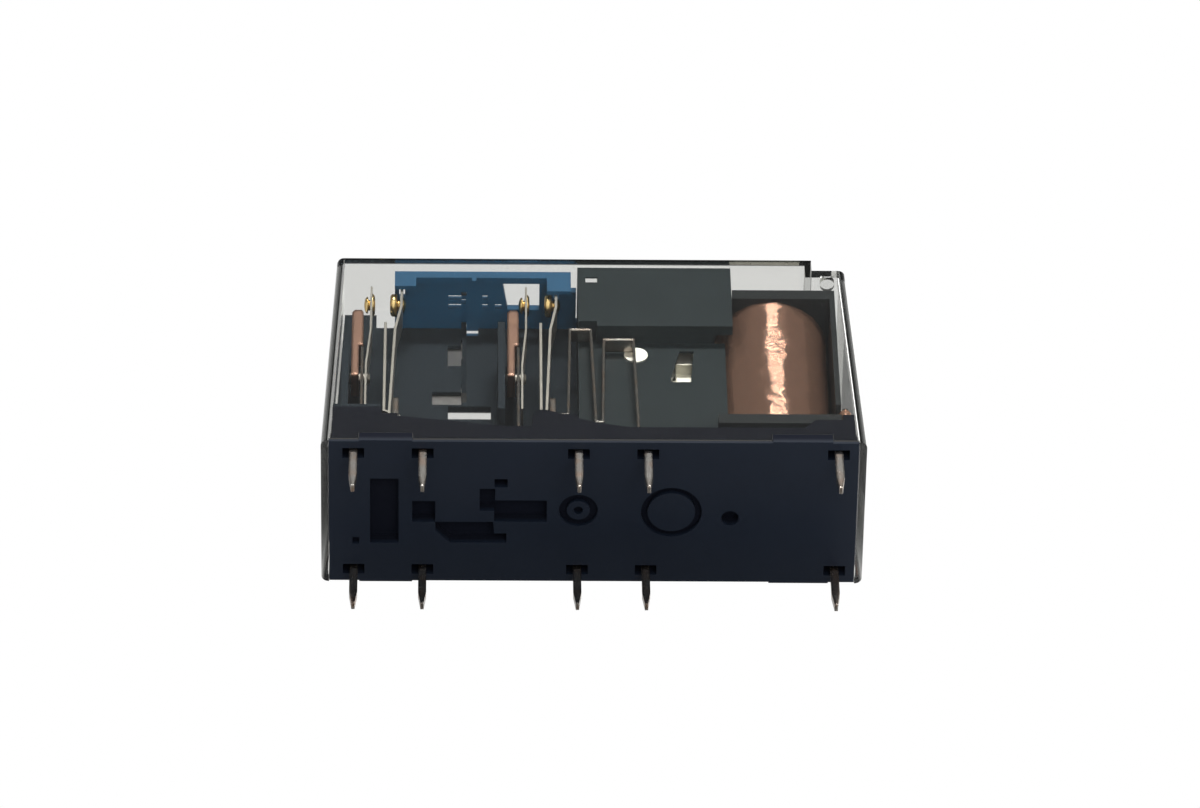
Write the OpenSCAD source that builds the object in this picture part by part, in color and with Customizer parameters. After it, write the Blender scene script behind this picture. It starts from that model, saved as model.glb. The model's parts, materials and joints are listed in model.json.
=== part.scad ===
// Four-pole force-guided relay for a circuit board, in a clear cover.
// The relay stands on its pin tips: z = 0 is at the tips, +Z runs up to the roof
// of the cover, +X runs from the contacts to the coil, and -Y is the front side.
// Modules are written from the seating plane, the underside of the base, and
// lift() raises them by the length of the pins.

/* [Cover] */
// Length of the cover at the seating plane
body_l = 40; // [37:0.5:44]
// Width of the cover at the seating plane
body_w = 13; // [12:0.1:15]
// Height of the cover above the seating plane
body_h = 24; // [22:0.1:27]
// Wall thickness of the cover
wall = 0.5; // [0.4:0.05:0.6]
// Roof thickness of the cover
roof = 0.6; // [0.5:0.05:0.8]
// Draft of the two end walls, in degrees
end_draft = 2.1; // [1:0.1:2.5]
// Draft of the two long walls, in degrees
face_draft = 1.15; // [0.5:0.05:1.4]
// Length of the lowered step in the roof at the coil end
step_l = 2.45; // [1.8:0.05:2.8]
// How far that step lies below the roof
step_drop = 1.7; // [1:0.1:2]
// Radius of the corners of the cover
corner_r = 0.5; // [0.3:0.1:0.8]

/* [Pins] */
// Length of the pins below the seating plane
pin_len = 4.4; // [3:0.1:5]
// Pitch of each pair of contact pins
pair_pitch = 5.08; // [4.9:0.02:5.3]
// Distance from the last contact pin to the coil pin
coil_pitch = 13.97; // [13.7:0.01:14.2]
// How far the pins stand in from the inside of the long walls
pin_inset = 0.6; // [0.55:0.01:0.7]
// Thickness of a pin, along the relay
pin_t = 0.6; // [0.4:0.05:0.8]
// Width of a pin, across the relay
pin_w = 0.6; // [0.5:0.05:0.7]

/* [Contacts] */
// Open gap between a fixed and a moving contact
contact_gap = 1.1; // [0.8:0.05:1.2]
// Diameter of a contact
contact_d = 1.7; // [1.4:0.1:1.8]
// Depth of the contacts below the card
contact_drop = 1.84; // [1.6:0.02:2.1]
// Width of the contact springs
leaf_w = 2.05; // [1.9:0.05:2.3]
// Thickness of the moving springs
spring_t = 0.2; // [0.12:0.01:0.24]
// Thickness of the fixed contact leaves
leaf_t = 0.15; // [0.1:0.01:0.2]
// Height of the bars that hold the fixed leaves
riser_top = 13.3; // [12.5:0.1:14.5]

/* [Coil] */
// Thickness of the wound copper, out from the bobbin tube
winding_t = 2.35; // [1.9:0.05:2.6]
// Radius of the round edges of the core
core_r = 1.3; // [1:0.05:1.4]
// Thickness of the bobbin's flanges
flange_t = 1.1; // [0.8:0.05:1.2]
// Thickness of the yoke and the pole plate
plate_t = 1.1; // [0.9:0.05:1.2]

/* [Drive] */
// Length of the armature housing beside the coil
housing_l = 10.1; // [9.9:0.05:10.6]
// Diameter of the armature's pivot pin
pivot_d = 1.76; // [1.4:0.02:1.9]
// Height of that pin above the seating plane
pivot_z = 13.85; // [13.55:0.05:14.15]
// Thickness of the armature
armature_t = 1.2; // [1:0.05:1.3]
// Thickness of the card
card_t = 0.6; // [0.5:0.05:0.7]

/* [Hidden] */
$fn = 48;

// Clearances: parts of one body that seat, parts that move past each other, a pin in its bearing
fit = 0.02;
slip = 0.12;
running = 0.05;
// Extra length that carries a cut clear of a face
over = 1;

// Inside of the cover at a height above the seating plane
half_l = body_l / 2;
function inner_x(z) = half_l - wall - z * tan(end_draft);
function inner_y(z) = body_w / 2 - wall - z * tan(face_draft);
ceiling = body_h - roof;
step_ceiling = ceiling - step_drop;
step_x = half_l - body_h * tan(end_draft) - step_l;
// Half width of everything that reaches up to the ceiling
frame_y = inner_y(ceiling) - 0.05;

// The base
rim_h = 1.45;
ledge_h = 0.25;
ledge_y = body_w / 2 - 0.1;
rim_x = inner_x(rim_h) - 0.03;
rim_y = inner_y(rim_h) - 0.03;
slab_h = 2.3;
plinth_h = 4.6;
pocket_h = 1.3;
pocket_gap = 0.08;
link_h = 0.7;
base_l = inner_x(plinth_h) - 0.12;
base_y = inner_y(plinth_h) - 0.1;
base_wall = 0.5;
plinth_y = base_y - base_wall;
lug_h = 0.95;

// The coil stands at the +X end, under the step in the roof
tube_wall = 0.6;
tube_r = core_r + running + tube_wall;
winding_r = tube_r + winding_t;
winding_gap = 0.05;
end_wall_t = 0.4;
bobbin_z = slab_h + plate_t;
winding_z = bobbin_z + flange_t;
yoke_z = ceiling - 2.1 - plate_t;
flange_top = yoke_z - fit;
flange_z = flange_top - flange_t;
bobbin_h = flange_z - winding_z;
bobbin_x = inner_x(step_ceiling) - 0.4;
bobbin_y = frame_y - 0.03;
coil_x = bobbin_x - end_wall_t - winding_gap - winding_r;
core_gap = 2 * (frame_y - 0.28 - winding_r);
yoke_end = step_x - wall - 0.22;

// The housing of the armature stands beside it
housing_wall = 0.8;
housing_x1 = coil_x - winding_r - 0.15;
housing_x0 = housing_x1 - housing_l;
housing_lip = 1.45;
housing_top = ceiling - 0.45;
housing_step = pivot_z + 1.62;
recess = 1.58;
lower_y = frame_y - recess;
lower_in = lower_y - housing_wall;
upper_in = frame_y - housing_wall;
notch_l = 1.4;
notch_rise = 0.6;
pivot_x = housing_x0 + 4.3;
barrel_r = pivot_d / 2 + 0.67;
armature_y = lower_in - 0.5;
armature_z = 5;
yoke_y = lower_in - 0.1;
yoke_leg_x = pivot_x + 3;
yoke_leg_t = 1.2;
yoke_toe_z = pivot_z - 1.8;
yoke_foot_z = pivot_z - 2.05;
yoke_waist_z = pivot_z + 0.1;
pole_y = lower_in - 0.4;
pole_top = 8;
finger_y = 0.6;
tongue_y = 1.2;
shoulder_y = 4;

// The card slides under the ceiling
card_top = ceiling - 1;
card_z = card_top - card_t;
card_mid_z = card_z + card_t / 2;
card_y = frame_y - 0.03;
card_bar_w = 0.57;
card_bar_h = 0.8;
card_gap = 0.5;

// Contact sets: u runs from the fixed riser towards the moving spring. The first set stands
// at the -X end, the second beside the housing, and the rear sets are turned round
front_x = 1.54 - inner_x(ceiling);
second_x = housing_x0 - 4.5;
moving_u = 2;
rear_shift = moving_u + 0.4;
set_x = [front_x, second_x, front_x + rear_shift, second_x + rear_shift];
leaf_y = frame_y - 0.43;
contact_y = leaf_y - leaf_w / 2;
contact_z = card_z - contact_drop;
riser_t = 0.2;
rivet_z = riser_top - 2.7;
foot_t = 0.2;
foot_z = plinth_h + foot_t + 0.05;
hinge_z = foot_z + 0.25;
closed_gap = 0.05;
fixed_face = 0.9;
moving_face = fixed_face + contact_gap;
tip_u = moving_face + 0.9;
tip_w = 1.1;
bend_z = contact_z - 4.36;
swing = asin((contact_gap - closed_gap) / (contact_z - hinge_z));
travel = (card_mid_z - hinge_z) * sin(swing);
card_x0 = front_x + 2.36;
card_rear_x0 = front_x + rear_shift - tip_u + travel - 0.6;
card_x1 = housing_x0 - card_gap;
barrier_y0 = -0.7;
barrier_y1 = -0.1;
rib_x = (front_x + second_x) / 2 + 1.76;

// Places of the pins
pin_y = inner_y(0) - pin_inset;
pin_x1 = front_x - 0.52;
pin_x2 = pin_x1 + pair_pitch;
pin_x5 = bobbin_x - 0.36;
pin_x4 = pin_x5 - coil_pitch;
pin_x3 = pin_x4 - pair_pitch;
pin_taper = 1.4;
fixed_pin = [pin_x1, pin_x3, pin_x2, pin_x3];
moving_pin = [pin_x2, pin_x4, pin_x1, pin_x4];
link_y = leaf_y - leaf_w / 2;
inner_w = 0.8;
post_y0 = pin_y - 0.7;
post_y1 = pin_y - 0.3;

// Colours, named for what they are on
clear_grey = [0.86, 0.88, 0.9, 0.25];
base_black = [0.07, 0.08, 0.1];
housing_black = [0.14, 0.15, 0.16];
card_blue = [0.12, 0.42, 0.68];
copper_wire = [0.42, 0.22, 0.16];
copper_blade = [0.72, 0.48, 0.38];
spring_metal = [0.78, 0.74, 0.68];
contact_gold = [0.95, 0.78, 0.36];
tinned = [0.72, 0.69, 0.64];
soft_iron = [0.6, 0.61, 0.62];

// Helpers

module lift() translate([0, 0, pin_len]) children();

// A box from one corner to the other
module block(a, b) translate(a) cube(b - a);

// A box that is the same on both sides of the middle plane
module sym_block(x0, x1, half, z0, z1) block([x0, -half, z0], [x1, half, z1]);

// Extrudes an outline drawn in x and z from y0 to y1
module across(y0, y1) translate([0, y1, 0]) rotate([90, 0, 0]) linear_extrude(y1 - y0) children();

function unit(v) = v / norm(v);
function side_of(p, i) = let (d = unit(p[i + 1] - p[i])) [-d[1], d[0]];
function miter(p, i) =
  i == 0 ? side_of(p, 0)
  : i == len(p) - 1 ? side_of(p, i - 1)
  : let (a = side_of(p, i - 1), m = unit(a + side_of(p, i))) m / (m * a);
// The outline of a bent strip of one thickness that follows a path
function ribbon(p, t) = concat(
  [for (i = [0:len(p) - 1]) p[i] + miter(p, i) * t / 2],
  [for (i = [len(p) - 1:-1:0]) p[i] - miter(p, i) * t / 2]
);
module strip(path, t, y0, y1) across(y0, y1) polygon(ribbon(path, t));

// A bar with round ends, upright, its length across the relay
module oblong(r, gap, h) {
  for (s = [-1, 1]) translate([0, s * gap / 2, 0]) cylinder(r = r, h = h);
  translate([-r, -gap / 2, 0]) cube([2 * r, gap, h]);
}

// Puts a contact set in its place; the rear sets are the front ones turned round
module at_set(i) translate([set_x[i], 0, 0]) rotate([0, 0, i < 2 ? 0 : 180]) children();
function local_u(i, x) = i < 2 ? x - set_x[i] : set_x[i] - x;
// The rear sets rest closed, swung over towards their fixed contacts
module at_rest(i) translate([moving_u, 0, hinge_z]) rotate([0, i < 2 ? 0 : -swing, 0]) {
  translate([-moving_u, 0, -hinge_z]) children();
}

// The cover: a drafted shell with a lowered step in its roof at the coil end

module drafted(half_x, half_y, h, r) {
  top_x = half_x - h * tan(end_draft) - r;
  top_y = half_y - h * tan(face_draft) - r;
  hull() {
    for (sx = [-1, 1], sy = [-1, 1]) {
      translate([sx * (half_x - r), sy * (half_y - r), 0]) cylinder(r = r, h = 0.01, $fn = 24);
      translate([sx * top_x, sy * top_y, h - r]) sphere(r = r, $fn = 24);
    }
  }
}

lug_at = [[2.8 - half_l, 3.9], [half_l - 6.9, 4.4]];
module cover() color(clear_grey) lift() {
  difference() {
    union() {
      difference() {
        drafted(half_l, body_w / 2, body_h, corner_r);
        block([step_x, -body_w, body_h - step_drop], [body_l, body_w, body_h + over]);
      }
      translate([step_x + 1.2, -frame_y + 0.9, body_h - step_drop]) cylinder(r = 0.55, h = 0.5);
    }
    difference() {
      translate([0, 0, -over]) drafted(inner_x(-over), inner_y(-over), ceiling + over, 0.2);
      block([step_x - wall, -body_w, step_ceiling], [body_l, body_w, body_h]);
    }
    for (lug = lug_at) {
      block([lug[0] - running, -body_w, -over], [lug[0] + lug[1] + running, body_w, lug_h + running]);
    }
    // The long walls stand on the ledge of the base
    sym_block(-rim_x - fit, rim_x + fit, body_w, -over, ledge_h + fit);
  }
  // An insulating rib runs down the inside of the front wall between the contact sets
  rib_z = plinth_h + 1.8;
  rib_top = contact_z - 0.46;
  block([rib_x - 0.2, -inner_y(rib_z) - wall / 2, rib_z], [rib_x + 0.2, 0.5 - frame_y, rib_top]);
}

// The base: floor, plinth for the contacts, barrier between front and rear, and the pockets below

// Outline of the long walls of the base, as seen from the front
wall_line = [
  [-base_l, rim_h], [-base_l, plinth_h + 0.45],
  [front_x + 1.4, plinth_h + 0.45], [front_x + 1.6, plinth_h - 0.8],
  [second_x - 0.9, slab_h + 0.1], [second_x + 1, slab_h + 0.1],
  [second_x + 1.2, plinth_h - 0.15], [second_x + 2, plinth_h - 0.15], [housing_x0 + 1.2, slab_h + 0.6],
  [housing_x0 + 3.6, slab_h + 0.05], [coil_x + 2, slab_h + 0.05], [coil_x + 2.8, bobbin_z - 0.05],
  [bobbin_x + 0.05, bobbin_z - 0.05], [bobbin_x + 0.1, bobbin_z + 0.6],
  [base_l, bobbin_z + 0.6], [base_l, rim_h]
];

// The part of a terminal that is moulded into the base, grown by a clearance: a link from the pin to
// the riser, and the riser, which is narrow beside the link and takes its full width above it
module embedded(i, pin_place, riser_u, g) {
  u = local_u(i, pin_place);
  half = riser_t / 2 + g;
  z1 = pocket_h + link_h;
  at_set(i) {
    block([min(u - pin_t / 2, riser_u - riser_t / 2) - g, -pin_y - g, pocket_h - g],
      [max(u + pin_t / 2, riser_u + riser_t / 2) + g, -link_y + g, z1 + g]);
    block([riser_u - half, -leaf_y - g, pocket_h], [riser_u + half, -link_y + g, z1 + 0.3]);
    block([riser_u - half, -leaf_y - g, z1 + 0.2], [riser_u + half, -leaf_y + leaf_w + g, plinth_h + g]);
  }
}

// The moving side of the second rear set has its pin beyond the fixed one, and its link runs inside
module inner_link(i, g) {
  u = local_u(i, moving_pin[i]);
  half = riser_t / 2 + g;
  in_y = link_y - 0.2;
  z1 = pocket_h + link_h;
  at_set(i) {
    block([u - pin_t / 2 - g, -in_y - g, pocket_h - g], [moving_u + half, -in_y + inner_w + g, z1 + g]);
    block([u - pin_t / 2 - g, -pin_y - g, pocket_h - g], [u + pin_t / 2 + g, -in_y + inner_w + g, z1 + g]);
    block([moving_u - half, -in_y - g, pocket_h], [moving_u + half, -in_y + inner_w + g, z1 + 0.3]);
    block([moving_u - half, -leaf_y - g, z1 + 0.2], [moving_u + half, -leaf_y + leaf_w + g, plinth_h + g]);
  }
}

module terminal_slots() {
  for (i = [0:3]) {
    embedded(i, fixed_pin[i], 0, fit);
    if (i == 0 || i == 2) embedded(i, moving_pin[i], moving_u, fit);
  }
  inner_link(3, fit);
  meander_root(fit);
  for (s = [-1, 1]) coil_root(s, fit);
}

module pin_pockets() {
  for (x = [pin_x1, pin_x2, pin_x3, pin_x4, pin_x5], turn = [0, 180]) {
    rotate([0, 0, turn]) {
      px = turn == 0 ? x : -x;
      block([px - 0.8, -pin_y - pin_w / 2 - pocket_gap, -over], [px + 0.8, 0.5 - pin_y, pocket_h]);
    }
  }
}

module underside_pockets() {
  deep = 1;
  shallow = 0.5;
  block([front_x + 0.7, -3, -over], [front_x + 2.8, 2.9, deep]);
  block([front_x + 3.8, -0.95, -over], [front_x + 5.5, 0.95, deep]);
  block([front_x - 0.6, 2.4, -over], [front_x - 0.1, 3, shallow]);
  translate([second_x, 0, 0]) {
    block([-2.85, -2.1, -over], [-1.7, -0.1, deep]);
    block([-1.77, -3, -over], [-0.8, -2.25, deep]);
    block([-1.77, -1.05, -over], [2.1, 0.9, deep]);
    translate([0, 0, -over]) linear_extrude(deep + over) polygon([
      [-5.7, 0.95], [-1.85, 0.95], [-1.75, 2], [-0.85, 2],
      [-0.85, 2.85], [-5, 2.85], [-6.1, 1.75], [-6.1, 0.95]
    ]);
  }
  ring_groove([housing_x0 - 0.08, -0.16], 0.85, 1.43, shallow);
  translate([housing_x0 - 0.08, -0.16, -over]) cylinder(r = 0.35, h = shallow + over);
  ring_groove([pivot_x + 2.47, -0.03], 1.75, 2.24, shallow);
  translate([coil_x - 3.45, 0.5, -over]) cylinder(r = 0.65, h = deep + over);
}

module ring_groove(at, inner, outer, depth) translate([at[0], at[1], -over]) difference() {
  cylinder(r = outer, h = depth + over);
  cylinder(r = inner, h = depth + over);
}

module base() color(base_black) lift() {
  cut = 0.3;
  barrier_top = card_z - 0.15;
  difference() {
    union() {
      linear_extrude(rim_h) polygon([
        [-rim_x + cut, -rim_y], [rim_x - cut, -rim_y], [rim_x, -rim_y + cut], [rim_x, rim_y - cut],
        [rim_x - cut, rim_y], [-rim_x + cut, rim_y], [-rim_x, rim_y - cut], [-rim_x, -rim_y + cut]
      ]);
      sym_block(-rim_x, rim_x, ledge_y, 0, ledge_h);
      sym_block(-base_l, base_l, base_y, rim_h, slab_h);
      sym_block(-base_l, housing_x0 - 0.1, plinth_y, rim_h, plinth_h);
      across(-base_y, -plinth_y) polygon(wall_line);
      across(plinth_y, base_y) polygon(wall_line);
      for (lug = lug_at) block([lug[0], -body_w / 2, 0], [lug[0] + lug[1], body_w / 2, lug_h]);
      across(barrier_y0, barrier_y1) polygon([
        [-base_l, slab_h], [-base_l, plinth_h], [-inner_x(ceiling) + 0.1, ceiling - 0.1],
        [card_x0 - travel - 0.2, ceiling - 0.1], [card_x0 - travel - 0.2, barrier_top],
        [housing_x0 - fit, barrier_top], [housing_x0 - fit, slab_h]
      ]);
      for (i = [0:3]) tower(i);
    }
    terminal_slots();
    pin_pockets();
    underside_pockets();
    foot_pocket();
    plinth_slope();
    barrier_windows();
  }
}

// A tower stands behind each fixed contact and backs its blade
module tower(i) at_set(i) {
  top = i == 0 || i == 2 ? riser_top - 0.3 : riser_top + 3.2;
  block([-1.5, -leaf_y, plinth_h - 0.1], [-0.98, barrier_y0 + 0.05, top]);
}

// The floor is lower under the second front set
module foot_pocket() {
  block([second_x - 1.1, -plinth_y - over, slab_h + 0.7], [second_x + 1, leaf_w - leaf_y, plinth_h + over]);
}

// Between the sets the plinth slopes down towards the second one
module plinth_slope() across(-plinth_y - over, barrier_y0) polygon([
  [front_x + 2.7, plinth_h - 0.3], [second_x - 0.5, slab_h + 0.55],
  [second_x - 0.5, plinth_h + over], [front_x + 2.7, plinth_h + over]
]);

// Openings in the barrier: two low slots, a small window and a notch in its top edge
module barrier_windows() {
  low = rivet_z - 0.5;
  y0 = barrier_y0 - over;
  y1 = barrier_y1 + over;
  block([rib_x - 1.16, y0, low], [rib_x + 2.04, y1, low + 1.6]);
  block([rib_x - 2.36, y0, low + 1.8], [rib_x - 0.16, y1, low + 3.4]);
  block([rib_x - 1.2, y0, contact_z - 3.16], [rib_x - 0.1, y1, contact_z - 0.6]);
  block([rib_x + 0.2, y0, card_z - 1.1], [rib_x + 1.1, y1, card_z + over]);
}

// The housing of the armature, open below and towards the coil

module armature_housing() color(housing_black) lift() {
  x0 = housing_x0;
  x2 = housing_x1 + housing_lip;
  in_x = x0 + housing_wall;
  in_top = housing_top - housing_wall;
  cheek_t = 0.35;
  difference() {
    union() {
      sym_block(x0, x2, frame_y, housing_step, housing_top);
      sym_block(x0, housing_x1, lower_y, slab_h, housing_step);
      // Thin cheeks reach along the winding
      for (s = [-1, 1]) {
        cheek_y = s * (lower_y - cheek_t / 2);
        block([housing_x1 - 0.5, cheek_y - cheek_t / 2, winding_z + slip],
          [housing_x1 + 0.9, cheek_y + cheek_t / 2, housing_step + 0.1]);
      }
    }
    sym_block(in_x, x2 + over, lower_in, slab_h - over, in_top);
    sym_block(in_x, x2 + over, upper_in, housing_step + housing_wall, in_top);
    sym_block(housing_x1 + running, x2 + over, upper_in, housing_step - fit, in_top);
    // The strip of the second front terminal runs through these corners
    for (s = [-1, 1]) {
      block([x0 - over, min(s * lower_y, s * body_w), housing_step - over],
        [x0 + notch_l, max(s * lower_y, s * body_w), housing_step + notch_rise]);
    }
    // The tongue of the card comes in here
    sym_block(x0 - over, pivot_x + 1.9, tongue_y + 0.2, card_z - 0.2, housing_top + over);
    // A slot in the front face, and the pocket behind it that is open at the top
    slot_x0 = x0 + 0.6;
    slot_x1 = x0 + 1.5;
    slot_z = in_top - 1.1;
    slot_skin = 0.12;
    block([slot_x0, -frame_y - over, slot_z], [slot_x1, -upper_in, slot_z + 0.65]);
    block([slot_x0, slot_skin - frame_y, slot_z], [slot_x1, -upper_in + 1.1, housing_top + over]);
    // A window in the front of the lower part, beside the leg of the yoke
    across(-lower_y - over, -lower_in + over) polygon([
      [yoke_leg_x + 0.28, pivot_z + 0.6], [yoke_leg_x + 1.33, pivot_z + 0.6],
      [yoke_leg_x + 1.05, pivot_z - 3.3], [yoke_leg_x - 0.45, pivot_z - 3.3],
      [yoke_leg_x - 0.45, pivot_z - 2.9]
    ]);
    // Behind its thin upper edge the wall is hollowed, so that the leg can be seen
    block([yoke_leg_x - 0.1, 0.15 - lower_y, pivot_z - 1],
      [yoke_leg_x + 1.5, over - lower_in, pivot_z + 1.45]);
    translate([pivot_x, 0, pivot_z]) rotate([90, 0, 0]) {
      cylinder(r = pivot_d / 2 + fit, h = 2 * body_w, center = true);
    }
  }
  // A rib that the armature rests against
  block([in_x - 0.1, -0.6, armature_z + 0.2], [pivot_x - armature_t / 2 - closed_gap, 0.6, armature_z + 1.2]);
}

// The coil

module bobbin() color(housing_black) lift() difference() {
  x0 = coil_x - winding_r - winding_gap;
  tall = flange_top - bobbin_z;
  union() {
    translate([coil_x, 0, bobbin_z]) oblong(tube_r, core_gap, tall);
    sym_block(x0, bobbin_x, bobbin_y, bobbin_z, winding_z);
    sym_block(x0, bobbin_x, upper_in - 0.08, flange_z, flange_top);
    sym_block(housing_x1 + housing_lip + 0.05, bobbin_x, bobbin_y, flange_z, flange_top);
    sym_block(bobbin_x - end_wall_t, bobbin_x, bobbin_y, winding_z - 0.1, flange_z + 0.1);
  }
  translate([coil_x, 0, bobbin_z - over]) oblong(core_r + running, core_gap, tall + 2 * over);
  // The ends of the wire pass through the corners of the end wall
  for (turn = [0, 180]) translate([bobbin_x, 0, winding_z]) rotate([turn, 0, 0]) {
    block([-end_wall_t - 0.1, lead_y - 0.1, turn == 0 ? 0 : -1.2], [over, body_w, turn == 0 ? 1.2 : 0]);
  }
}

module coil_winding() color(copper_wire) lift() translate([coil_x, 0, winding_z]) difference() {
  oblong(winding_r, core_gap, bobbin_h);
  translate([0, 0, -over]) oblong(tube_r, core_gap, bobbin_h + 2 * over);
}

module core() color(soft_iron) lift() translate([coil_x, 0, slab_h]) {
  oblong(core_r, core_gap, yoke_z + plate_t - slab_h);
}

module core_hole() translate([coil_x, 0, -over]) oblong(core_r + fit, core_gap, body_h + 2 * over);

// The yoke runs from the top of the core down past the armature's pivot, with a toe towards it
module yoke() color(soft_iron) lift() difference() {
  leg_x1 = yoke_leg_x + yoke_leg_t;
  union() {
    sym_block(yoke_leg_x, yoke_end, yoke_y, yoke_z, yoke_z + plate_t);
    sym_block(yoke_leg_x, leg_x1, yoke_y, yoke_waist_z, yoke_z + plate_t);
    sym_block(yoke_leg_x, leg_x1, yoke_y - 0.9, yoke_foot_z, yoke_waist_z + 0.1);
    sym_block(yoke_leg_x, leg_x1, yoke_y, yoke_foot_z, yoke_foot_z + 0.5);
    sym_block(pivot_x + barrel_r + 0.2, leg_x1, yoke_y - 0.9, yoke_toe_z, yoke_toe_z + plate_t);
  }
  core_hole();
}

// The pole plate runs from the foot of the core to face the armature's lower end
pole_x = pivot_x + armature_t / 2 + (pivot_z - armature_z) * travel / (card_mid_z - pivot_z) + 0.08;
module pole_plate() color(soft_iron) lift() difference() {
  union() {
    sym_block(pole_x, yoke_end, pole_y, slab_h, bobbin_z - 0.02);
    sym_block(pole_x, pole_x + 1.2, pole_y, slab_h, pole_top);
  }
  core_hole();
}

// The armature rocks on its pin, and its plastic arm carries the card

clasp_z = pivot_z + 2.4;
module armature() color(soft_iron) lift() difference() {
  union() {
    sym_block(pivot_x - armature_t / 2, pivot_x + armature_t / 2, armature_y, armature_z, clasp_z);
    translate([pivot_x, 0, pivot_z]) rotate([90, 0, 0]) {
      cylinder(r = barrel_r, h = 2 * armature_y, center = true);
    }
  }
  translate([pivot_x, 0, pivot_z]) rotate([90, 0, 0]) {
    cylinder(r = pivot_d / 2 + running, h = body_w, center = true);
  }
}

arm_t = 0.9;
module drive_arm() color(base_black) lift() difference() {
  half = armature_t / 2;
  union() {
    sym_block(pivot_x - half - 0.5, pivot_x + half + 0.5, armature_y - 1, clasp_z - 0.7, clasp_z + 1.6);
    sym_block(pivot_x - arm_t / 2, pivot_x + arm_t / 2, finger_y, clasp_z + 1.5, card_top - 0.1);
  }
  sym_block(pivot_x - half - fit, pivot_x + half + fit, armature_y, pivot_z, clasp_z + fit);
}

module pivot_pin() color(soft_iron) lift() translate([pivot_x, 0, pivot_z]) rotate([90, 0, 0]) {
  cylinder(r = pivot_d / 2, h = 2 * lower_y + 0.2, center = true);
}

// The card: a thin plate with a bar along each long edge, slots for the springs and a tongue for the arm

module card() color(card_blue) lift() {
  slot_half = spring_t / 2 + slip;
  tab_t = 0.33;
  bar_y = card_y - card_bar_w;
  low = card_z - over;
  high = card_top + over;
  difference() {
    union() {
      block([card_x0, -card_y, card_z], [card_x1, barrier_y1 + 0.2, card_top]);
      block([card_rear_x0, barrier_y1 + 0.2, card_z], [card_x1, card_y, card_top]);
      block([card_x0, -card_y, card_top - card_bar_h], [card_x1, -bar_y, card_top]);
      block([card_rear_x0, bar_y, card_top - card_bar_h], [card_x1, card_y, card_top]);
      block([card_x0, -card_y, card_z - 1.3], [card_x0 + 1.6, tab_t - card_y, card_z + 0.1]);
      block([card_x1 - 1.8, -card_y, card_z - 1.9], [card_x1, tab_t - card_y, card_z + 0.1]);
      block([rib_x + 0.59, -card_y, card_z - 0.6], [rib_x + 0.94, tab_t - card_y, card_z]);
      sym_block(card_x1 - 0.1, housing_x0 - 0.08, shoulder_y, card_z, card_top);
      sym_block(card_x1 - 0.5, pivot_x + 1.1, tongue_y, card_z, card_top);
    }
    for (i = [0:3]) at_set(i) {
      u = i < 2 ? tip_u : tip_u - travel;
      half_w = tip_w / 2 + slip;
      block([u - slot_half, -contact_y - half_w, low], [u + slot_half, half_w - contact_y, high]);
    }
    sym_block(pivot_x - arm_t / 2 - slip, pivot_x + arm_t / 2 + slip, finger_y + slip, low, high);
    // Openings: a large one above the second fixed contact, and short slots in two rows
    front_row = -card_y + 1.8;
    rear_row = front_row + 0.8;
    row_w = 0.48;
    translate([0, 0, low]) linear_extrude(card_t + 2 * over) polygon([
      [second_x - 1.15, -card_y + 0.55], [second_x + 1.65, -card_y + 0.55],
      [second_x + 1.65, rear_row + row_w], [second_x - 0.75, rear_row + row_w]
    ]);
    for (y = [front_row, rear_row]) {
      block([rib_x - 1.16, y, low], [rib_x + 0.14, y + row_w, high]);
      block([second_x - 2.65, y, low], [second_x - 2.25, y + row_w, high]);
    }
    block([second_x - 1.7, rear_row, low], [second_x - 1.2, rear_row + row_w, high]);
    block([rib_x - 1.26, 0.9, low], [rib_x - 0.06, 2.9, high]);
    block([rib_x + 0.2, -0.35, low], [rib_x + 1.1, 0.3, high]);
  }
}

// Terminals

module pin_shape(x, y) translate([x, y + pin_w / 2, 0]) rotate([90, 0, 0]) linear_extrude(pin_w) polygon([
  [-pin_t / 2, pocket_h], [pin_t / 2, pocket_h], [pin_t / 2, -pin_len + pin_taper],
  [pin_t / 5, -pin_len], [-pin_t / 5, -pin_len], [-pin_t / 2, -pin_len + pin_taper]
]);

module fixed_terminal(i) color(tinned) lift() {
  difference() {
    union() {
      embedded(i, fixed_pin[i], 0, 0);
      at_set(i) block([-riser_t / 2, -leaf_y, plinth_h - 0.1], [riser_t / 2, -leaf_y + leaf_w, riser_top]);
    }
    at_set(i) rivet_hole();
  }
  pin_shape(fixed_pin[i], (i < 2 ? -1 : 1) * pin_y);
}

module moving_terminal(i) color(tinned) lift() {
  if (i == 3) inner_link(i, 0);
  else embedded(i, moving_pin[i], moving_u, 0);
  at_set(i) {
    block([moving_u - 0.45, -leaf_y, plinth_h], [moving_u + 0.9, -leaf_y + leaf_w, plinth_h + foot_t]);
    block([moving_u + 0.3, -leaf_y, plinth_h + 0.1], [moving_u + 0.75, -leaf_y + leaf_w, plinth_h + 2.3]);
  }
  pin_shape(moving_pin[i], (i < 2 ? -1 : 1) * pin_y);
}

// The second front terminal rises in two tall loops between its pin and the foot of its spring
meander_t = 0.2;
meander_y0 = -leaf_y - 0.2;
meander_y1 = -lower_y - 0.2;
meander_end = housing_x0 + 4.35;

module meander_root(g) {
  x0 = meander_end - 0.15 - g;
  block([x0, -pin_y - g, pocket_h - g], [pin_x4 + pin_t / 2 + g, meander_y1 + g, pocket_h + link_h + g]);
  block([x0, meander_y0 - g, pocket_h], [meander_end + 0.15 + g, meander_y1 + g, slab_h + g]);
}

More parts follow.
